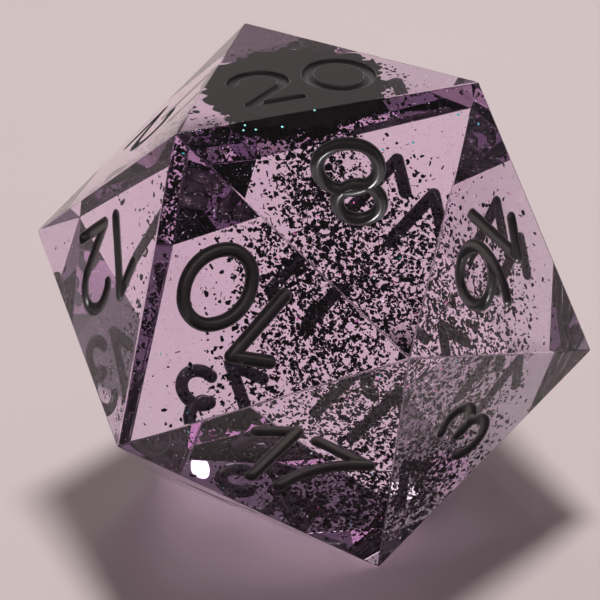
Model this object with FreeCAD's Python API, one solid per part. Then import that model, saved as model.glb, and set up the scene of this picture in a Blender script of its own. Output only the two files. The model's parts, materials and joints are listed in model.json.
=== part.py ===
# A sharp-edged twenty-sided die (d20) cast in clear, faintly violet resin.
#
# The die is one resin casting with engraved numerals. Black mica flakes and a pinch of glitter were
# stirred into the resin before it set. It was cast with face 20 at the bottom of the mould, so most of
# the flakes sank on to that face and set there as a black cake, and the rest hang below it as a plume.
#
# Frame: millimetres, +Z up, face 20 on top, the die standing on face 1. The origin is the centre of
# face 1. Faces 20 and 8 share the top edge that looks along -Y.
import FreeCAD, Part

import math
import os
import random

from FreeCAD import Vector

# ---- driving dimensions (mm) ----
ACROSS_FACES = 20.0        # between two opposite faces
EDGE_ROUND = 0.14          # radius that polishing leaves on the sharp edges
CAP_HEIGHT = 3.45          # of a numeral, between stroke centre lines
STROKE_RADIUS = 0.29       # half the width of an engraved stroke
STROKE_WALL = 0.08         # straight wall above the round bottom of a stroke
PAINT_THICKNESS = 0.04     # of the film of paint in a stroke
PAINT_BITE = 0.01          # how far the paint keys into the resin
PAINT_DROP = 0.015         # of the film's rim below the face
NUMERAL_DROP = 0.37        # numeral centre below the face centre, towards the edge it stands on
DIGIT_GAP = 0.42           # clear gap between two digits
FLAKE_THICKNESS = (0.02, 0.05)
GLITTER_WIDTH = 0.13       # across the corners of a glitter hexagon
GLITTER_THICKNESS = 0.02
SKIN = 0.10                # least resin between a flake and the outside
CAKE_COVER = 0.07          # resin between the cake and the faces round it
CAKE_DEPTH = 1.5           # thickness of the cake
CAKE_MIDDLE = (-0.5, -0.3)
SEED = 20
FUZZ = 1e-4

# ---- shape of a regular icosahedron ----
GOLDEN = (1 + math.sqrt(5)) / 2
INRADIUS = ACROSS_FACES / 2
EDGE = INRADIUS * 12 / (math.sqrt(3) * (3 + math.sqrt(5)))
CIRCUMRADIUS = EDGE * math.sqrt(GOLDEN * math.sqrt(5)) / 2
CENTRE = Vector(0, 0, INRADIUS)
GROOVE_DEPTH = STROKE_RADIUS + STROKE_WALL

# The twelve corners: name -> (ring, direction seen from above in degrees).
CORNERS = {
    "A": ("top", 90), "B": ("top", 210), "D": ("top", 330),
    "E": ("upper", 150), "C": ("upper", 270), "K": ("upper", 30),
    "L": ("lower", 90), "F": ("lower", 210), "H": ("lower", 330),
    "M": ("bottom", 150), "G": ("bottom", 270), "N": ("bottom", 30),
}
# Number -> the corners of its face, the one its head points at first. Opposite faces add up to 21.
FACES = {
    20: "ABD", 8: "CBD", 10: "FBC", 12: "FBE", 16: "HDC", 17: "CFG", 3: "CGH",
    2: "BAE", 14: "ADK", 6: "DHK", 18: "LAE", 4: "LAK", 15: "MEF", 9: "KNH",
    11: "KNL", 5: "EML", 7: "MGF", 19: "NGH", 13: "LMN", 1: "GMN",
}


# ---- geometry of the faces ----
def corner(name, inradius=INRADIUS):
    """A corner of the icosahedron about the die's centre."""
    ring, direction = CORNERS[name]
    scale = inradius / INRADIUS
    wide = ring in ("upper", "lower")
    radius = EDGE / math.sqrt(3) * (GOLDEN if wide else 1) * scale
    height = inradius / (GOLDEN ** 3 if wide else 1)
    angle = math.radians(direction)
    sign = 1 if ring in ("top", "upper") else -1
    return Vector(radius * math.cos(angle), radius * math.sin(angle), sign * height)


class FaceFrame:
    """A face's own axes: x to the right and y up as its numeral is read, z outwards."""

    def __init__(self, number):
        head, left, right = (corner(name) for name in FACES[number])
        self.centre = (head + left + right) * (1 / 3)
        self.z = Vector(self.centre).normalize()
        self.y = (head - self.centre).normalize()
        self.x = self.y.cross(self.z)

    def place(self, shape):
        """The shape, drawn on the XY plane, moved on to the face."""
        at = self.centre + CENTRE
        columns = zip(self.x, self.y, self.z, at)
        rows = [value for row in columns for value in row]
        moved = shape.copy()
        moved.transformShape(FreeCAD.Matrix(*rows, 0, 0, 0, 1), True)
        return moved


# ---- numerals: each stroke is a chain of straight lines and arcs on its centre line ----
def line(x0, y0, x1, y1):
    return {"from": Vector(x0, y0, 0), "to": Vector(x1, y1, 0)}


def arc(cx, cy, radius, start, sweep):
    """An arc about (cx, cy) from the angle start, in degrees; a positive sweep turns left."""
    centre = Vector(cx, cy, 0)
    ends = []
    for degrees in (start, start + sweep):
        angle = math.radians(degrees)
        ends.append(centre + radius * Vector(math.cos(angle), math.sin(angle), 0))
    return {"from": ends[0], "to": ends[1], "centre": centre, "radius": radius,
            "start": start, "sweep": sweep}


def oval(cx, cy, half_width, half_height, end_radius):
    """A four-centred oval: end_radius is the radius at the two ends of its longer axis."""
    wide = half_width > half_height
    long, short = max(half_width, half_height), min(half_width, half_height)
    rise = long - end_radius
    side_radius = (rise ** 2 + short ** 2 - end_radius ** 2) / (2 * (short - end_radius))
    lean = math.degrees(math.atan2(rise, side_radius - short))
    parts = []
    for turn in (0, 180):
        first = turn - (90 if wide else 0)
        sideways, ahead = math.radians(first), math.radians(first + 90)
        offset = short - side_radius
        parts.append(arc(cx + offset * math.cos(sideways), cy + offset * math.sin(sideways),
                         side_radius, first - lean, 2 * lean))
        parts.append(arc(cx + rise * math.cos(ahead), cy + rise * math.sin(ahead),
                         end_radius, first + lean, 180 - 2 * lean))
    return parts


def digit_strokes():
    """Digit -> (left side, right side, strokes). y runs from 0 at the foot to CAP_HEIGHT at the head."""
    h = CAP_HEIGHT
    digits = {}
    digits[0] = (-1.30, 1.30, [oval(0, h / 2, 1.30, h / 2, 1.04)])
    digits[1] = (-0.66, 0.66, [[line(0.66, 0, 0.66, h), line(0.66, h, -0.66, h - 0.98)]])
    bowl = arc(0, h - 1.10, 1.10, 165, -203)
    digits[2] = (-1.12, 1.12, [[bowl, line(bowl["to"].x, bowl["to"].y, -1.08, 0), line(-1.08, 0, 1.12, 0)]])
    upper = arc(-0.10, h - 0.86, 0.86, 150, -240)
    lower = arc(-0.05, 0.96, 0.96, 90, -245)
    digits[3] = (-0.98, 0.91, [[upper], [line(-0.35, 1.79, -0.05, 1.92), lower]])
    digits[4] = (-1.35, 1.25, [[line(0.55, 0, 0.55, h), line(0.55, h, -1.35, 1.05),
                                line(-1.35, 1.05, 1.25, 1.05)]])
    belly = arc(-0.08, 1.13, 1.13, 128, -268)
    digits[5] = (-1.05, 1.05, [[line(0.95, h, -0.75, h), line(-0.75, h, belly["from"].x, belly["from"].y),
                                belly]])
    back = arc(1.75, 1.10, 3.00, 129, 51)
    left_bowl, right_bowl = arc(-0.15, 1.10, 1.10, 180, 90), arc(0.15, 1.10, 1.10, 270, 180)
    brow = arc(-0.15, 1.10, 1.10, 90, 42)
    digits[6] = (-1.25, 1.25, [[back, left_bowl, line(-0.15, 0, 0.15, 0), right_bowl,
                                line(0.15, 2.20, -0.15, 2.20), brow,
                                line(brow["to"].x, brow["to"].y, -1.22, 1.48)]])
    leg = arc(3.55, h - 4.00, 4.60, 119.6, 51.4)
    digits[7] = (-1.28, 1.28, [[line(-1.28, leg["from"].y, leg["from"].x, leg["from"].y), leg]])
    six_left, six_right, six = digits[6]
    digits[9] = (-six_right, -six_left, turned(six))
    digits[8] = (-1.30, 1.30, [oval(0, 1.05, 1.30, 1.05, 0.97), oval(0, h - 0.78, 0.92, 0.78, 0.70)])
    return digits


def turned(strokes):
    """A digit's strokes turned upside down about the middle of its height: a 6 becomes a 9."""
    def flip(part):
        if "centre" in part:
            return arc(-part["centre"].x, CAP_HEIGHT - part["centre"].y, part["radius"],
                       part["start"] + 180, part["sweep"])
        a, b = part["from"], part["to"]
        return line(-a.x, CAP_HEIGHT - a.y, -b.x, CAP_HEIGHT - b.y)
    return [[flip(part) for part in stroke] for stroke in strokes]


def moved(strokes, dx, dy):
    def shift(part):
        if "centre" in part:
            centre = part["centre"]
            return arc(centre.x + dx, centre.y + dy, part["radius"], part["start"], part["sweep"])
        a, b = part["from"], part["to"]
        return line(a.x + dx, a.y + dy, b.x + dx, b.y + dy)
    return [[shift(part) for part in stroke] for stroke in strokes]


def numeral_strokes(number, digits):
    """The strokes of a whole number, centred on the face. 6 and 9 carry a dot at the foot."""
    glyphs = [digits[int(c)] for c in str(number)]
    pitch = 2 * STROKE_RADIUS + DIGIT_GAP
    width = sum(right - left for left, right, _ in glyphs) + pitch * (len(glyphs) - 1)
    strokes, x = [], -width / 2
    for left, right, parts in glyphs:
        strokes += moved(parts, x - left, -NUMERAL_DROP - CAP_HEIGHT / 2)
        x += right - left + pitch
    if number in (6, 9):
        foot = -NUMERAL_DROP - CAP_HEIGHT / 2
        strokes.append([line(x - 0.30, foot, x - 0.25, foot)])
    return strokes


# ---- engraving ----
def groove_profile(full, radius, top):
    """A groove's section in the XZ plane, from the height top down: straight walls, round bottom."""
    deep = -STROKE_WALL - radius
    left = Vector(-radius, 0, -STROKE_WALL) if full else Vector(0, 0, deep)
    right = Vector(radius, 0, -STROKE_WALL)
    slant = radius * math.sqrt(0.5)
    through = Vector(0, 0, deep) if full else Vector(slant, 0, -STROKE_WALL - slant)
    left_top, right_top = Vector(left.x, 0, top), Vector(radius, 0, top)
    edges = [Part.Arc(left, through, right).toShape(),
             Part.LineSegment(right, right_top).toShape(),
             Part.LineSegment(right_top, left_top).toShape(),
             Part.LineSegment(left_top, left).toShape()]
    return Part.Face(Part.Wire(edges))


def heading(part, at_end):
    """The direction of travel, in degrees, at the start or the end of a part."""
    if "centre" in part:
        angle = part["start"] + (part["sweep"] if at_end else 0)
        return angle + (90 if part["sweep"] > 0 else -90)
    along = part["to"] - part["from"]
    return math.degrees(math.atan2(along.y, along.x))


def groove_along(part, radius, top):
    """The groove's section carried along one line or arc."""
    section = groove_profile(True, radius, top)
    section.rotate(Vector(), Vector(0, 0, 1), heading(part, False) - 90)
    section.translate(part["from"])
    if "centre" in part:
        return section.revolve(part["centre"], Vector(0, 0, 1), part["sweep"])
    return section.extrude(part["to"] - part["from"])


def groove_turn(at, start, sweep, radius, top):
    """The groove's half section turned about a point: a stroke's round end or the outside of a corner."""
    section = groove_profile(False, radius, top)
    section.rotate(Vector(), Vector(0, 0, 1), start)
    section.translate(at)
    return section.revolve(at, Vector(0, 0, 1), sweep)


def stroke_solids(stroke, radius, top):
    """The solids that one stroke removes: its lines and arcs, its round ends and its corners."""
    solids = [groove_along(part, radius, top) for part in stroke]
    first, last = stroke[0], stroke[-1]
    if (first["from"] - last["to"]).Length > 1e-6:
        solids.append(groove_turn(first["from"], heading(first, False) + 90, 180, radius, top))
        solids.append(groove_turn(last["to"], heading(last, True) - 90, 180, radius, top))
    for before, after in zip(stroke, stroke[1:]):
        bend = (heading(after, False) - heading(before, True) + 180) % 360 - 180
        if abs(bend) > 0.01:
            outside = heading(before, True) + (-90 if bend > 0 else 90)
            solids.append(groove_turn(after["from"], outside, bend, radius, top))
    return solids


def engraving(number, digits, radius, top):
    """A number's grooves as one solid per digit, drawn on the XY plane."""
    solids = []
    for stroke in numeral_strokes(number, digits):
        solids += stroke_solids(stroke, radius, top)
    return solids[0].multiFuse(solids[1:], FUZZ)


def numeral_paint(number, digits):
    """The film of paint in a number's grooves: it follows their walls and stops just below the face."""
    outside = engraving(number, digits, STROKE_RADIUS + PAINT_BITE, -PAINT_DROP)
    inside = engraving(number, digits, STROKE_RADIUS - PAINT_THICKNESS, STROKE_RADIUS)
    return outside.cut(inside, FUZZ)


# ---- the casting ----
def icosahedron(inradius):
    """A sharp icosahedron about CENTRE with the given distance from centre to face."""
    faces = []
    for names in FACES.values():
        points = [corner(name, inradius) + CENTRE for name in names]
        faces.append(Part.Face(Part.makePolygon(points + points[:1])))
    solid = Part.makeSolid(Part.makeShell(faces))
    if solid.Volume < 0:
        solid.reverse()
    return solid


def die_blank():
    """The unengraved die: a slightly smaller icosahedron rolled over by a ball, which rounds its edges."""
    core = icosahedron(INRADIUS - EDGE_ROUND)
    return core.makeOffsetShape(EDGE_ROUND, 1e-4, join=0)


def resin_body(frames, digits):
    body = die_blank()
    for number, frame in frames.items():
        body = body.cut(frame.place(engraving(number, digits, STROKE_RADIUS, STROKE_RADIUS)), FUZZ)
    return body.Solids[0]


# ---- what is cast into the resin ----
class Room:
    """Keeps the cast-in pieces apart and inside the resin."""

    def __init__(self, frames):
        self.normals = [frame.z for frame in frames.values()]
        self.taken = []

    def cover(self, point):
        """The depth of resin between a point and the nearest face."""
        return INRADIUS - max((point - CENTRE).dot(normal) for normal in self.normals)

    def take(self, point, radius):
        """Whether a ball fits here; if it does, its space is now taken."""
        if self.cover(point) < GROOVE_DEPTH + SKIN + radius:
            return False
        if any((point - other).Length < radius + reach for other, reach in self.taken):
            return False
        self.taken.append((point, radius))
        return True


def flake(rng, centre, radius, normal, thickness, sides=0):
    """A thin plate: a regular one if sides is given, else a broken one with five to seven corners."""
    aside = normal.cross(Vector(1, 0.3, 0.2)).normalize()
    ahead = normal.cross(aside)
    count = sides or rng.randint(5, 7)
    start = rng.uniform(0, 2 * math.pi)
    points = []
    for i in range(count):
        angle = start + 2 * math.pi * (i + (0 if sides else rng.uniform(-0.32, 0.32))) / count
        reach = radius * (1 if sides else rng.uniform(0.45, 0.97))
        points.append(centre + aside * (reach * math.cos(angle)) + ahead * (reach * math.sin(angle)))
    plate = Part.Face(Part.makePolygon(points + points[:1])).extrude(normal * thickness)
    plate.translate(normal * (-thickness / 2))
    return plate


def any_direction(rng, flatness=1.0):
    """A random unit vector; a flatness below one leans it towards the vertical."""
    while True:
        v = Vector(rng.uniform(-1, 1), rng.uniform(-1, 1), rng.uniform(-1, 1))
        if 0.1 < v.Length < 1:
            v = Vector(v.x * flatness, v.y * flatness, v.z)
            return v.normalize()


def scatter(rng, room, count, sizes, pick, flatness=1.0, thickness=None, sides=0):
    """Flakes at the points that pick() gives, none of them touching."""
    plates = []
    while len(plates) < count:
        point = pick()
        radius = rng.triangular(sizes[0], sizes[1], sizes[0]) / 2
        if room.take(point, radius + 0.01):
            thick = thickness or rng.uniform(*FLAKE_THICKNESS)
            normal = any_direction(rng, flatness)
            plates.append(flake(rng, point, radius * 0.97, normal, thick, sides))
    return Part.makeCompound(plates)


def cake_edge(angle):
    """How far the cake reaches from its middle in a direction, before its raggedness."""
    to_front = max(0, math.cos(angle - math.radians(262)))
    to_back = math.cos(angle - math.radians(70))
    return 3.85 + 0.95 * to_front + 0.2 * to_back


def flake_cake(rng, frames, digits):
    """The cake of settled flakes: flat against face 20, a ragged rim, a mound below, clear of the numeral."""
    count, top = 84, ACROSS_FACES - CAKE_COVER
    spikes = [rng.uniform(-0.34, 0.30) for _ in range(count)]
    levels = ((1.0, 0.0), (0.99, 0.16), (0.86, 0.36), (0.62, 0.66), (0.30, 0.92))
    rings = []
    for reach, drop in levels:
        ring = []
        for i in range(count):
            angle = 2 * math.pi * i / count
            r = (cake_edge(angle) + spikes[i]) * reach
            rough = rng.uniform(0.8, 1.2) if reach < 0.9 else 1
            z = top - CAKE_DEPTH * drop * rough
            ring.append(Vector(CAKE_MIDDLE[0] + r * math.cos(angle), CAKE_MIDDLE[1] + r * math.sin(angle), z))
        rings.append(ring)
    lid = Vector(CAKE_MIDDLE[0], CAKE_MIDDLE[1], top)
    apex = Vector(CAKE_MIDDLE[0], CAKE_MIDDLE[1], top - CAKE_DEPTH)
    faces = []
    for i in range(count):
        faces.append(triangle_face(rings[0][i], rings[0][i - 1], lid))
        for upper, lower in zip(rings, rings[1:]):
            faces.append(triangle_face(upper[i - 1], upper[i], lower[i]))
            faces.append(triangle_face(upper[i - 1], lower[i], lower[i - 1]))
        faces.append(triangle_face(rings[-1][i - 1], rings[-1][i], apex))
    solid = Part.makeSolid(Part.makeShell(faces))
    if solid.Volume < 0:
        solid.reverse()
    room = icosahedron(INRADIUS - CAKE_COVER)
    clear = frames[20].place(engraving(20, digits, STROKE_RADIUS + 0.05, STROKE_RADIUS))
    return solid.common(room).cut(clear)


def triangle_face(a, b, c):
    return Part.Face(Part.makePolygon([a, b, c, a]))


def rim_point(rng):
    """A point just outside the cake's rim."""
    angle = rng.uniform(0, 2 * math.pi)
    r = cake_edge(angle) + rng.uniform(0.42, 1.0)
    z = ACROSS_FACES - rng.uniform(0.65, 1.2)
    return Vector(CAKE_MIDDLE[0] + r * math.cos(angle), CAKE_MIDDLE[1] + r * math.sin(angle), z)


def plume_point(rng, low, high, middle, spread):
    """A point of the plume between two heights, scattered about the plume's middle there."""
    z = rng.uniform(low, high)
    return Vector(rng.gauss(middle[0], spread), rng.gauss(middle[1], spread), z)


def anywhere(rng):
    """A point anywhere in the box around the die."""
    return Vector(rng.uniform(-1, 1), rng.uniform(-1, 1), rng.uniform(-1, 1)) * CIRCUMRADIUS + CENTRE


def inclusions(frames, digits):
    """Everything cast into the resin: node name -> shape."""
    rng = random.Random(SEED)
    room = Room(frames)
    parts = {"settled_flake_cake": flake_cake(rng, frames, digits)}
    parts["rim_flakes"] = scatter(rng, room, 70, (0.20, 0.55), lambda: rim_point(rng), 0.5)
    # the plume leans: under the cake it hangs near the front edge, at its foot it lies to the right
    bands = {"plume_top_flakes": (15.0, 17.9, (-0.4, -2.4), 1.3, 60),
             "plume_upper_flakes": (11.5, 15.0, (0.2, -0.9), 1.8, 95),
             "plume_middle_flakes": (8.0, 11.5, (1.5, 0.0), 2.1, 110),
             "plume_lower_flakes": (4.5, 8.0, (2.6, 0.4), 2.2, 110),
             "plume_foot_flakes": (1.2, 4.5, (0.8, 0.8), 2.3, 80)}
    for name, (low, high, middle, spread, count) in bands.items():
        parts[name] = scatter(rng, room, count, (0.14, 0.52),
                              lambda: plume_point(rng, low, high, middle, spread), 0.8)
    parts["stray_flakes"] = scatter(rng, room, 110, (0.10, 0.34), lambda: anywhere(rng))
    for name, count in (("silver_glitter", 26), ("pink_glitter", 16), ("teal_glitter", 16)):
        sizes = (GLITTER_WIDTH, GLITTER_WIDTH * 1.001)
        parts[name] = scatter(rng, room, count, sizes, lambda: plume_point(rng, 2, 17.5, (0.2, -0.2), 3.0),
                              1.0, GLITTER_THICKNESS, 6)
    return parts


if __name__ == "__main__":
    os.makedirs("parts", exist_ok=True)
    faces = {number: FaceFrame(number) for number in FACES}
    digits = digit_strokes()
    parts = {"resin_body": resin_body(faces, digits)}
    for number in sorted(faces):
        parts["paint_%d" % number] = faces[number].place(numeral_paint(number, digits))
    parts.update(inclusions(faces, digits))
    for name, shape in parts.items():
        print(name, shape.isValid(), len(shape.Solids), round(shape.Volume, 3), flush=True)
        shape.exportStep("parts/" + name + ".step")
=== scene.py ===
import json
import math

import bpy
import numpy as np
from bpy.props import FloatProperty, FloatVectorProperty, IntProperty, PointerProperty
from mathutils import Matrix, Vector


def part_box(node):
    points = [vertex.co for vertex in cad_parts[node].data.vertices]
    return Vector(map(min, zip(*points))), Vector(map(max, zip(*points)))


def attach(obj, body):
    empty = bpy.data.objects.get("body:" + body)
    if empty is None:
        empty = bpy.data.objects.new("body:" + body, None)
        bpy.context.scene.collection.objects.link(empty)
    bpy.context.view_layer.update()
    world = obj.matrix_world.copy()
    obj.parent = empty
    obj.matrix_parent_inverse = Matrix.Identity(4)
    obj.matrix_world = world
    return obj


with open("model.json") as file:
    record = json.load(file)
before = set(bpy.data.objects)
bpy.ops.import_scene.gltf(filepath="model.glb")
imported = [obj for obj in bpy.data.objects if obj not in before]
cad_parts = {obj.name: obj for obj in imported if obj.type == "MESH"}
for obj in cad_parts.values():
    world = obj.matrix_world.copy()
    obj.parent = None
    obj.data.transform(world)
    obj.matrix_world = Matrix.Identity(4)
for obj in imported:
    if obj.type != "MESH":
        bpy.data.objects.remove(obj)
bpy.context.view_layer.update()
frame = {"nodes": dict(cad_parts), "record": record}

bl_info = {
    "name": "Clear resin twenty-sided die",
    "version": (1, 0, 0),
    "blender": (4, 5, 0),
    "location": "3D View > Sidebar > Resin die",
    "description": "Finishes, inclusions, light and camera for a clear cast die with black flakes",
    "category": "Object",
}

BODY = "root"
MM = 0.001

FACE_NAMES = [m["name"] for m in frame["record"]["mounts"]]
FACE_NORMALS = np.array([m["axis"] for m in frame["record"]["mounts"]])
BOX_LOW, BOX_HIGH = (np.array(corner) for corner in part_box("resin_body"))
INRADIUS = float(BOX_HIGH[2] - BOX_LOW[2]) / 2
CENTRE = np.array([0.0, 0.0, BOX_LOW[2] + INRADIUS])
CIRCUMRADIUS = INRADIUS * math.sqrt(15 - 6 * math.sqrt(5))

FLAKE_NODES = ("settled_flake_cake", "rim_flakes", "plume_top_flakes", "plume_upper_flakes",
               "plume_middle_flakes", "plume_lower_flakes", "plume_foot_flakes", "stray_flakes")
PAINT_NODES = tuple(name for name in frame["nodes"] if name.startswith("paint_"))
GLITTER_NODES = ("silver_glitter", "pink_glitter", "teal_glitter")

# Clouds of flakes: middle x, y and height above the floor, spread across, spread up (mm), share
UPPER_CLOUDS = ((-0.8, -2.5, 16.2, 1.1, 2.0, 0.34), (0.2, -0.9, 11.2, 1.6, 2.4, 0.66))
LOWER_CLOUDS = ((3.2, 0.0, 6.2, 1.8, 2.4, 0.36), (0.2, 0.9, 3.8, 2.1, 2.2, 0.28),
                (4.6, 2.8, 8.0, 1.5, 1.6, 0.16), (1.8, -4.6, 3.0, 1.5, 1.2, 0.32))

# The flakes banked behind the front edge, in mm along the edge from its middle, and down
DRIFT_ENDS = (-4.2, 2.2)
DRIFT_DEEPEST_AT = -1.1
DRIFT_HALF_LENGTH = 3.5
DRIFT_DEPTH = 1.55

FLOOR_HALF = 0.6
FLOOR_GAP = 0.00002        # keeps the floor clear of the die's lowest face

# The camera's place is in circumradii from the die's centre
CAMERA_PLACE = (-2.4338545, -7.62126877, 3.81033288)
CAMERA_RIGHT = (0.94583, -0.32110, -0.04786)
CAMERA_UP = (0.18034, 0.39708, 0.89989)

# Lamps: name, place, what it points at, width, power, colour
LAMPS = (
    ("key_light", (0.050, 0.060, 0.443), (0, 0, 0), 0.106, 1.24, (1.0, 0.99, 0.98)),
    ("back_light", (0.10, 0.50, 0.60), (0, 0.12, 0), 0.22, 0.48, (1.0, 0.98, 0.97)),
    ("front_glint", (0.0307, -0.1530, 0.4705), (0, 0, 0.01), 0.0045, 0.00014, (0.95, 0.95, 1.0)),
    ("rear_glint", (0.0023, 0.4194, 0.2464), (0, 0, 0.01), 0.009, 0.0003, (1.0, 0.97, 0.95)),
)


# ---- sizes and colours a user would change ----
class ResinSettings(bpy.types.PropertyGroup):
    refraction: FloatProperty(
        name="Refraction", description="Index of refraction of the resin", default=1.54, min=1.3, max=1.8)
    roughness: FloatProperty(
        name="Roughness", description="How much the polish scatters light", default=0.0, min=0, max=0.3)
    tint: FloatVectorProperty(
        name="Tint", description="Colour that thick resin lets through", subtype="COLOR",
        default=(0.93, 0.66, 0.95))
    tint_density: FloatProperty(
        name="Tint density", description="Absorption per metre", default=45.0, min=0, max=1000)
    paint: FloatVectorProperty(
        name="Paint", description="Colour of the paint in the numerals", subtype="COLOR",
        default=(0.070, 0.062, 0.065))
    ripple: FloatProperty(
        name="Ripple height", description="Height of the waviness left in the faces", default=0.004 * MM,
        unit="LENGTH", precision=6)


class FlakeSettings(bpy.types.PropertyGroup):
    upper_count: IntProperty(name="Upper flakes", description="Flakes in the upper clouds", default=2300, min=0)
    lower_count: IntProperty(name="Lower flakes", description="Flakes in the lower clouds", default=3800, min=0)
    speck_count: IntProperty(name="Specks", description="Dust-fine specks all over", default=2200, min=0)
    cake_count: IntProperty(name="Cake flakes", description="Flakes on the settled cake", default=1800, min=0)
    drift_count: IntProperty(name="Drift flakes", description="Flakes behind the front edge", default=1500, min=0)
    # Pale specks all over, which also carry a painted glint
    dust_and_glint_count: IntProperty(name="Dust", description="Pale dust all over", default=1500, min=0)
    colour: FloatVectorProperty(
        name="Colour", description="Flake colour", subtype="COLOR", default=(0.007, 0.005, 0.005))


class StageSettings(bpy.types.PropertyGroup):
    floor_colour: FloatVectorProperty(
        name="Floor", description="Colour of the floor", subtype="COLOR", default=(0.78, 0.665, 0.662))
    lens: FloatProperty(
        name="Lens", description="Focal length on a 36 mm sensor", default=151.43 * MM, unit="LENGTH",
        subtype="DISTANCE")


# ---- meshes ----
def new_piece(name, verts, faces, material, smooth=False):
    """An object at the origin with the given mesh."""
    mesh = bpy.data.meshes.new(name)
    mesh.from_pydata(verts.tolist(), [], faces)
    mesh.update()
    mesh.materials.append(material)
    mesh.polygons.foreach_set("use_smooth", np.full(len(mesh.polygons), smooth))
    piece = bpy.data.objects.new(name, mesh)
    bpy.context.scene.collection.objects.link(piece)
    return piece


def unit(vectors):
    return vectors / np.linalg.norm(vectors, axis=-1, keepdims=True)


def resin_cover(points):
    """Depth of resin over each point: the inradius less its greatest distance along any face's normal."""
    return INRADIUS - ((points - CENTRE) @ FACE_NORMALS.T).max(axis=1)


def plates(rng, centres, radii, normals, thickness, corners=6, nearest=0.45):
    """Thin broken plates. Corner k of a plate is at angle 2 pi (k + jitter) / corners from a random start, at a
    share of the plate's radius, from nearest to 1 at random, along two axes square to its normal; the outline is
    repeated half the thickness above and below the plate's plane, and a band of quads joins the two."""
    count = len(centres)
    aside = unit(np.cross(normals, [1.0, 0.3, 0.2]))
    ahead = np.cross(normals, aside)
    k = np.arange(corners)
    start = rng.uniform(0, 2 * np.pi, (count, 1))
    angle = start + 2 * np.pi * (k + rng.uniform(-0.33, 0.33, (count, corners))) / corners
    reach = radii[:, None] * rng.uniform(nearest, 1.0, (count, corners))
    outline = (centres[:, None] + (reach * np.cos(angle))[..., None] * aside[:, None]
               + (reach * np.sin(angle))[..., None] * ahead[:, None])
    lift = (normals * thickness[:, None] / 2)[:, None]
    verts = np.concatenate([outline + lift, outline - lift], axis=1).reshape(-1, 3)
    first = (np.arange(count) * 2 * corners)[:, None]
    upper = first + k
    lower = first + corners + k[::-1]
    ahead_k = (k + 1) % corners
    band = np.stack([first + corners + k, first + corners + ahead_k, first + ahead_k, first + k], axis=-1)
    return verts, upper.tolist() + lower.tolist() + band.reshape(-1, 4).tolist()


# ---- materials ----
def new_material(name):
    material = bpy.data.materials.new(name)
    material.use_nodes = True
    tree = material.node_tree
    return material, tree.nodes, tree.links, tree.nodes["Principled BSDF"]


def resin_material(settings):
    material, nodes, links, shader = new_material("clear_violet_resin")
    shader.inputs["Base Color"].default_value = (1, 1, 1, 1)
    shader.inputs["Transmission Weight"].default_value = 1.0
    shader.inputs["Roughness"].default_value = settings.roughness
    shader.inputs["IOR"].default_value = settings.refraction
    place = nodes.new("ShaderNodeTexCoord")
    wave = nodes.new("ShaderNodeTexNoise")
    wave.inputs["Scale"].default_value = 180.0
    wave.inputs["Detail"].default_value = 2.0
    bump = nodes.new("ShaderNodeBump")
    bump.inputs["Strength"].default_value = 1.0
    bump.inputs["Distance"].default_value = settings.ripple
    links.new(place.outputs["Object"], wave.inputs["Vector"])
    links.new(wave.outputs["Fac"], bump.inputs["Height"])
    links.new(bump.outputs["Normal"], shader.inputs["Normal"])
    tint = nodes.new("ShaderNodeVolumeAbsorption")
    tint.inputs["Color"].default_value = (*settings.tint, 1)
    tint.inputs["Density"].default_value = settings.tint_density
    links.new(tint.outputs["Volume"], nodes["Material Output"].inputs["Volume"])
    return material


def mica_material(settings):
    material, nodes, links, shader = new_material("black_mica")
    place = nodes.new("ShaderNodeTexCoord")
    grain = nodes.new("ShaderNodeTexNoise")
    grain.inputs["Scale"].default_value = 2500.0
    grain.inputs["Detail"].default_value = 3.0
    links.new(place.outputs["Object"], grain.inputs["Vector"])
    shade = nodes.new("ShaderNodeValToRGB")
    dark = settings.colour
    shade.color_ramp.elements[0].position = 0.40
    shade.color_ramp.elements[0].color = (dark[0] * 0.5, dark[1] * 0.5, dark[2] * 0.5, 1)
    shade.color_ramp.elements[1].position = 0.72
    shade.color_ramp.elements[1].color = (dark[0] * 2.2, dark[1] * 2.0, dark[2] * 2.1, 1)
    links.new(grain.outputs["Fac"], shade.inputs["Fac"])
    links.new(shade.outputs["Color"], shader.inputs["Base Color"])
    shader.inputs["Roughness"].default_value = 0.45
    shader.inputs["Specular IOR Level"].default_value = 0.06
    return material


def paint_material(settings):
    material, nodes, links, shader = new_material("black_numeral_paint")
    place = nodes.new("ShaderNodeTexCoord")
    cloud = nodes.new("ShaderNodeTexNoise")
    cloud.inputs["Scale"].default_value = 900.0
    cloud.inputs["Detail"].default_value = 4.0
    shade = nodes.new("ShaderNodeValToRGB")
    shade.color_ramp.elements[0].color = tuple(0.75 * c for c in settings.paint) + (1,)
    shade.color_ramp.elements[1].color = tuple(1.3 * c for c in settings.paint) + (1,)
    links.new(place.outputs["Object"], cloud.inputs["Vector"])
    links.new(cloud.outputs["Fac"], shade.inputs["Fac"])
    links.new(shade.outputs["Color"], shader.inputs["Base Color"])
    bump = nodes.new("ShaderNodeBump")
    bump.inputs["Distance"].default_value = 0.004 * MM
    links.new(cloud.outputs["Fac"], bump.inputs["Height"])
    links.new(bump.outputs["Normal"], shader.inputs["Normal"])
    shader.inputs["Roughness"].default_value = 0.28
    shader.inputs["Specular IOR Level"].default_value = 1.0
    return material


# Glitter with its own colour, metallic and varied at random, plus a painted glint from the emission
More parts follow.
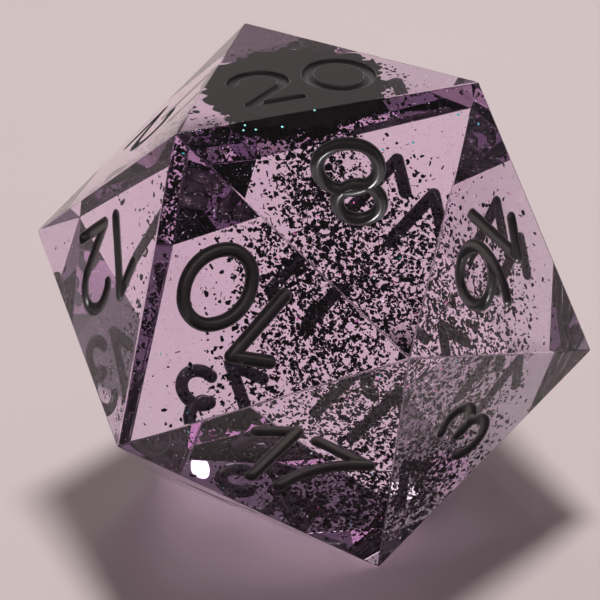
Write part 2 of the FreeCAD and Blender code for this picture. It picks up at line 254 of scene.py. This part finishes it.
def glitter_and_painted_glint_material(name, colour, painted_glint=0.5):
    material, nodes, links, shader = new_material(name)
    place = nodes.new("ShaderNodeTexCoord")
    grain = nodes.new("ShaderNodeTexNoise")
    grain.inputs["Scale"].default_value = 1200.0
    links.new(place.outputs["Object"], grain.inputs["Vector"])
    shade = nodes.new("ShaderNodeValToRGB")
    shade.color_ramp.elements[0].color = tuple(0.6 * c for c in colour) + (1,)
    shade.color_ramp.elements[1].color = tuple(min(1, 1.2 * c) for c in colour) + (1,)
    links.new(grain.outputs["Fac"], shade.inputs["Fac"])
    links.new(shade.outputs["Color"], shader.inputs["Base Color"])
    shader.inputs["Metallic"].default_value = 0.9
    shader.inputs["Roughness"].default_value = 0.28
    # Painted glint: the emission makes each piece glow in its own colour though it is no lamp
    shader.inputs["Emission Color"].default_value = (*colour, 1)
    shader.inputs["Emission Strength"].default_value = painted_glint
    return material


def coat_node(name, material):
    """Give a carried-over CAD node its finish."""
    for slot in frame["nodes"][name].material_slots:
        slot.material = material


# ---- operators: one for each group of like pieces, one for the stage ----
class DIE_OT_casting(bpy.types.Operator):
    """The clear violet casting with its engraved numerals"""
    bl_idname = "die.casting"
    bl_label = "Casting"

    def execute(self, context):
        coat_node("resin_body", resin_material(context.scene.die_resin))
        return {"FINISHED"}


class DIE_OT_numerals(bpy.types.Operator):
    """The black paint in the engraved numerals"""
    bl_idname = "die.numerals"
    bl_label = "Numerals"

    def execute(self, context):
        paint = paint_material(context.scene.die_resin)
        for name in PAINT_NODES:
            coat_node(name, paint)
        return {"FINISHED"}


class DIE_OT_flakes(bpy.types.Operator):
    """The settled cake, the plume, the stray flakes and the fine bits round them, the pale ones with a painted
    glint
    """
    bl_idname = "die.flakes"
    bl_label = "Flakes"

    def execute(self, context):
        settings = context.scene.die_flakes
        mica = mica_material(settings)
        for name in FLAKE_NODES:
            coat_node(name, mica)
        self.cloud("upper_cloud_flakes", UPPER_CLOUDS, settings.upper_count, mica, 7)
        self.cloud("lower_cloud_flakes", LOWER_CLOUDS, settings.lower_count, mica, 8)
        self.fringe(settings, mica)
        self.drift(settings, mica)
        # Pale specks with a painted glint: their emission makes them show as light dots in the dark parts of the
        # resin
        dust_and_glint = glitter_and_painted_glint_material("pale_dust_and_glint", (0.82, 0.76, 0.86), 0.7)
        self.scattered("pale_dust_and_glint", settings.dust_and_glint_count, 12, 0.3, (0.014, 0.022, 0.045), 0.008, dust_and_glint,
                       "silver_glitter")
        self.scattered("specks", settings.speck_count, 11, 0.5, (0.012, 0.018, 0.05), 0.012, mica)
        return {"FINISHED"}

    def cloud(self, name, clouds, count, mica, seed):
        """Torn flakes in soft clouds: each flake picks a cloud by its share, then a place at a normal distance
        from that cloud's middle, across and up by the cloud's two spreads."""
        rng = np.random.default_rng(seed)
        clouds = np.array(clouds)
        pick = rng.choice(len(clouds), count * 3, p=clouds[:, 5] / clouds[:, 5].sum())
        middle, spread = clouds[pick, :3], clouds[pick][:, [3, 3, 4]]
        points = (middle + rng.normal(size=middle.shape) * spread) * MM + (0, 0, BOX_LOW[2])
        points = points[resin_cover(points) > 0.75 * MM][:count]
        radii = rng.triangular(0.025, 0.06, 0.24, len(points)) * MM
        normals = unit(rng.normal(size=(len(points), 3)))
        thickness = rng.uniform(0.02, 0.05, len(points)) * MM
        verts, faces = plates(rng, points, radii, normals, thickness, 8, 0.30)
        self.add(name, verts, faces, mica)

    def fringe(self, settings, mica):
        """Flakes on the cake: a third round its rim, the rest hung under it. Each is on the line from the cake's
        middle to one of its outer vertices, at a share of the way, and hangs lower the nearer it is to the
        middle."""
        rng = np.random.default_rng(5)
        cake = frame["nodes"]["settled_flake_cake"]
        shell = np.array([tuple(cake.matrix_world @ v.co) for v in cake.data.vertices])
        low, high = shell.min(axis=0), shell.max(axis=0)
        middle = (low + high) / 2
        around = shell[rng.integers(0, len(shell), settings.cake_count)]
        outward = around[:, :2] - middle[:2]
        around = around[np.linalg.norm(outward, axis=1) > 2.5 * MM]
        share = np.where(rng.random(len(around)) < 0.35, rng.uniform(0.97, 1.10, len(around)),
                         np.sqrt(rng.random(len(around))))
        points = np.empty((len(around), 3))
        points[:, :2] = middle[:2] + (around[:, :2] - middle[:2]) * share[:, None]
        hang = (high[2] - low[2]) * np.clip(1.05 - share, 0.12, 1) * rng.uniform(0.75, 1.25, len(around))
        points[:, 2] = high[2] - 0.25 * MM - hang
        radii = rng.triangular(0.08, 0.16, 0.36, len(points)) * MM
        covered = resin_cover(points) > 0.62 * MM
        points, radii = points[covered], radii[covered]
        normals = unit(rng.normal(size=(len(points), 3)))
        verts, faces = plates(rng, points, radii, normals, np.full(len(points), 0.03 * MM), 8, 0.30)
        self.add("cake_fringe_flakes", verts, faces, mica)

    def drift(self, settings, mica):
        """Flakes banked behind the front edge between faces 8 and 20. Each is at t along the edge from its middle,
        inward by up to 2.4 mm, and down by up to a depth that falls off with the square of t from the deepest
        place."""
        rng = np.random.default_rng(6)
        front = FACE_NORMALS[FACE_NAMES.index("face_8")]
        rise = unit(front + (0, 0, 1))
        along = unit(np.cross(front, (0, 0, 1)))
        along = along * np.sign(along[0])
        middle = CENTRE + rise * CIRCUMRADIUS * math.cos(0.5 * math.atan(2))
        t = rng.uniform(*DRIFT_ENDS, settings.drift_count)
        deepest = DRIFT_DEPTH * (1 - ((t - DRIFT_DEEPEST_AT) / DRIFT_HALF_LENGTH) ** 2).clip(0.1)
        depth = deepest * np.sqrt(rng.random(len(t))) + 0.15
        inward = rng.uniform(0.1, 2.4, len(t))
        points = (middle + np.outer(t, along) * MM + np.outer(inward, unit(-front * (1, 1, 0))) * MM
                  - np.outer(depth, (0, 0, 1)) * MM)
        keep = resin_cover(points) > 0.40 * MM
        points = points[keep]
        radii = rng.triangular(0.06, 0.14, 0.34, len(points)) * MM
        radii = np.minimum(radii, resin_cover(points) - 0.08 * MM)
        normals = unit(rng.normal(size=(len(points), 3)))
        verts, faces = plates(rng, points, radii, normals, np.full(len(points), 0.03 * MM), 8, 0.30)
        self.add("front_drift_flakes", verts, faces, mica)
        # A few teal glitter bits just under face 8, with a painted glint that glows though no lamp lights them
        gap = INRADIUS - (points - CENTRE) @ front
        near = points + np.outer(gap - 0.05 * MM, front)
        shine = np.where((gap < 0.9 * MM) & (resin_cover(near) > 0.045 * MM) & (t[keep] < -0.3))[0][:5]
        verts, faces = plates(rng, near[shine], np.full(len(shine), 0.05 * MM),
                              np.tile(front, (len(shine), 1)), np.full(len(shine), 0.01 * MM), 6, 0.9)
        self.add("drift_glitter_and_glint", verts, faces, glitter_and_painted_glint_material("drift_glitter_and_glint", (0.35, 0.85, 0.85), 1.0),
                 "teal_glitter")

    def add(self, name, verts, faces, material, slot="black_mica"):
        piece = new_piece(name, verts, faces, material)
        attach(piece, BODY)

    def scattered(self, name, count, seed, cover, sizes, thickness, material, slot="black_mica"):
        """Plates at even random places in a box round the die, kept where at least cover of resin lies over
        them."""
        rng = np.random.default_rng(seed)
        points = CENTRE + rng.uniform(-1, 1, (count * 4, 3)) * CIRCUMRADIUS
        points = points[resin_cover(points) > cover * MM][:count]
        radii = rng.triangular(*sizes, len(points)) * MM
        normals = unit(rng.normal(size=(len(points), 3)))
        verts, faces = plates(rng, points, radii, normals, np.full(len(points), thickness * MM), 4)
        self.add(name, verts, faces, material, slot)


class DIE_OT_glitter(bpy.types.Operator):
    """The silver, pink and teal glitter, each with its own colour and a painted glint that glows"""
    bl_idname = "die.glitter"
    bl_label = "Glitter"

    def execute(self, context):
        colours = {"silver_glitter": (0.80, 0.82, 0.86), "pink_glitter": (0.90, 0.25, 0.60),
                   "teal_glitter": (0.08, 0.65, 0.68)}
        for name in GLITTER_NODES:
            # Each glitter gets its own colour and a painted glint from the emission
            coat_node(name, glitter_and_painted_glint_material(name, colours[name]))
        return {"FINISHED"}


class DIE_OT_stage(bpy.types.Operator):
    """Floor, light and camera"""
    bl_idname = "die.stage"
    bl_label = "Stage"

    def execute(self, context):
        settings = context.scene.die_stage
        self.floor(settings)
        self.light(context)
        self.camera(context, settings)
        context.scene.view_settings.view_transform = "Standard"
        context.scene.cycles.max_bounces = 24
        context.scene.cycles.transmission_bounces = 20
        context.scene.cycles.transparent_max_bounces = 16
        return {"FINISHED"}

    def floor(self, settings):
        """A flat square: the corners are half its side along X and Y."""
        half, height = FLOOR_HALF, BOX_LOW[2] - FLOOR_GAP
        corners = np.array([[-half, -half, height], [half, -half, height], [half, half, height],
                            [-half, half, height]])
        material, nodes, links, shader = new_material("pale_floor")
        place = nodes.new("ShaderNodeTexCoord")
        grain = nodes.new("ShaderNodeTexNoise")
        grain.inputs["Scale"].default_value = 60.0
        shade = nodes.new("ShaderNodeValToRGB")
        colour = settings.floor_colour
        shade.color_ramp.elements[0].color = tuple(0.985 * c for c in colour) + (1,)
        shade.color_ramp.elements[1].color = tuple(1.015 * c for c in colour) + (1,)
        links.new(place.outputs["Object"], grain.inputs["Vector"])
        links.new(grain.outputs["Fac"], shade.inputs["Fac"])
        links.new(shade.outputs["Color"], shader.inputs["Base Color"])
        shader.inputs["Roughness"].default_value = 0.75
        shader.inputs["Specular IOR Level"].default_value = 0.2
        piece = new_piece("floor", corners, [[0, 1, 2, 3]], material)

    def light(self, context):
        world = bpy.data.worlds.new("studio")
        context.scene.world = world
        world.use_nodes = True
        nodes, links = world.node_tree.nodes, world.node_tree.links
        background = nodes["Background"]
        place = nodes.new("ShaderNodeTexCoord")
        split = nodes.new("ShaderNodeSeparateXYZ")
        links.new(place.outputs["Generated"], split.inputs["Vector"])
        ramp = nodes.new("ShaderNodeValToRGB")
        half = nodes.new("ShaderNodeMath")
        half.operation = "MULTIPLY_ADD"
        half.inputs[1].default_value = 0.5
        half.inputs[2].default_value = 0.5
        links.new(split.outputs["Y"], half.inputs[0])
        links.new(half.outputs["Value"], ramp.inputs["Fac"])
        ramp.color_ramp.elements[0].position = 0.25
        ramp.color_ramp.elements[0].color = (0.115, 0.098, 0.110, 1)
        ramp.color_ramp.elements[1].position = 0.80
        ramp.color_ramp.elements[1].color = (0.160, 0.145, 0.150, 1)
        far = ramp.color_ramp.elements.new(0.97)
        far.color = (0.36, 0.31, 0.31, 1)
        links.new(ramp.outputs["Color"], background.inputs["Color"])
        background.inputs["Strength"].default_value = 1.0
        for lamp in LAMPS:
            self.panel(*lamp)

    def panel(self, name, place, target, side, power, colour):
        lamp = bpy.data.lights.new(name, "AREA")
        lamp.shape = "DISK"
        lamp.size = side
        lamp.energy = power
        lamp.color = colour
        lamp_object = bpy.data.objects.new(name, lamp)
        bpy.context.scene.collection.objects.link(lamp_object)
        lamp_object.location = place
        lamp_object.rotation_euler = (Vector(place) - Vector(target)).to_track_quat("Z", "Y").to_euler()

    def camera(self, context, settings):
        lens = bpy.data.cameras.new("camera")
        lens.lens = settings.lens / MM
        lens.sensor_width = 36
        lens.clip_start = 0.005
        lens.clip_end = 20
        lens.dof.use_dof = False
        camera = bpy.data.objects.new("camera", lens)
        context.scene.collection.objects.link(camera)
        place = Vector(CAMERA_PLACE) * CIRCUMRADIUS + Vector(CENTRE)
        right, up = Vector(CAMERA_RIGHT), Vector(CAMERA_UP)
        back = right.cross(up)
        turn = Matrix((right, up, back)).transposed()
        camera.matrix_world = Matrix.Translation(place) @ turn.to_4x4()
        context.scene.camera = camera


class DIE_PT_panel(bpy.types.Panel):
    """Lists the die's pieces and settings"""
    bl_idname = "DIE_PT_panel"
    bl_label = "Resin die"
    bl_space_type = "VIEW_3D"
    bl_region_type = "UI"
    bl_category = "Resin die"

    def draw(self, context):
        for settings in (context.scene.die_resin, context.scene.die_flakes, context.scene.die_stage):
            box = self.layout.box()
            for prop in settings.bl_rna.properties:
                if prop.identifier not in ("rna_type", "name"):
                    box.prop(settings, prop.identifier)
        for operator in OPERATORS:
            self.layout.operator(operator.bl_idname)


SETTINGS = {"die_resin": ResinSettings, "die_flakes": FlakeSettings, "die_stage": StageSettings}
OPERATORS = (DIE_OT_casting, DIE_OT_numerals, DIE_OT_flakes, DIE_OT_glitter, DIE_OT_stage)


def register():
    for name, cls in SETTINGS.items():
        bpy.utils.register_class(cls)
        setattr(bpy.types.Scene, name, PointerProperty(type=cls))
    for cls in OPERATORS + (DIE_PT_panel,):
        bpy.utils.register_class(cls)


def unregister():
    for cls in reversed(OPERATORS + (DIE_PT_panel,)):
        bpy.utils.unregister_class(cls)
    for name, cls in SETTINGS.items():
        delattr(bpy.types.Scene, name)
        bpy.utils.unregister_class(cls)


def main():
    register()
    bpy.ops.die.casting()
    bpy.ops.die.numerals()
    bpy.ops.die.flakes()
    bpy.ops.die.glitter()
    bpy.ops.die.stage()


if __name__ == "__main__":
    main()
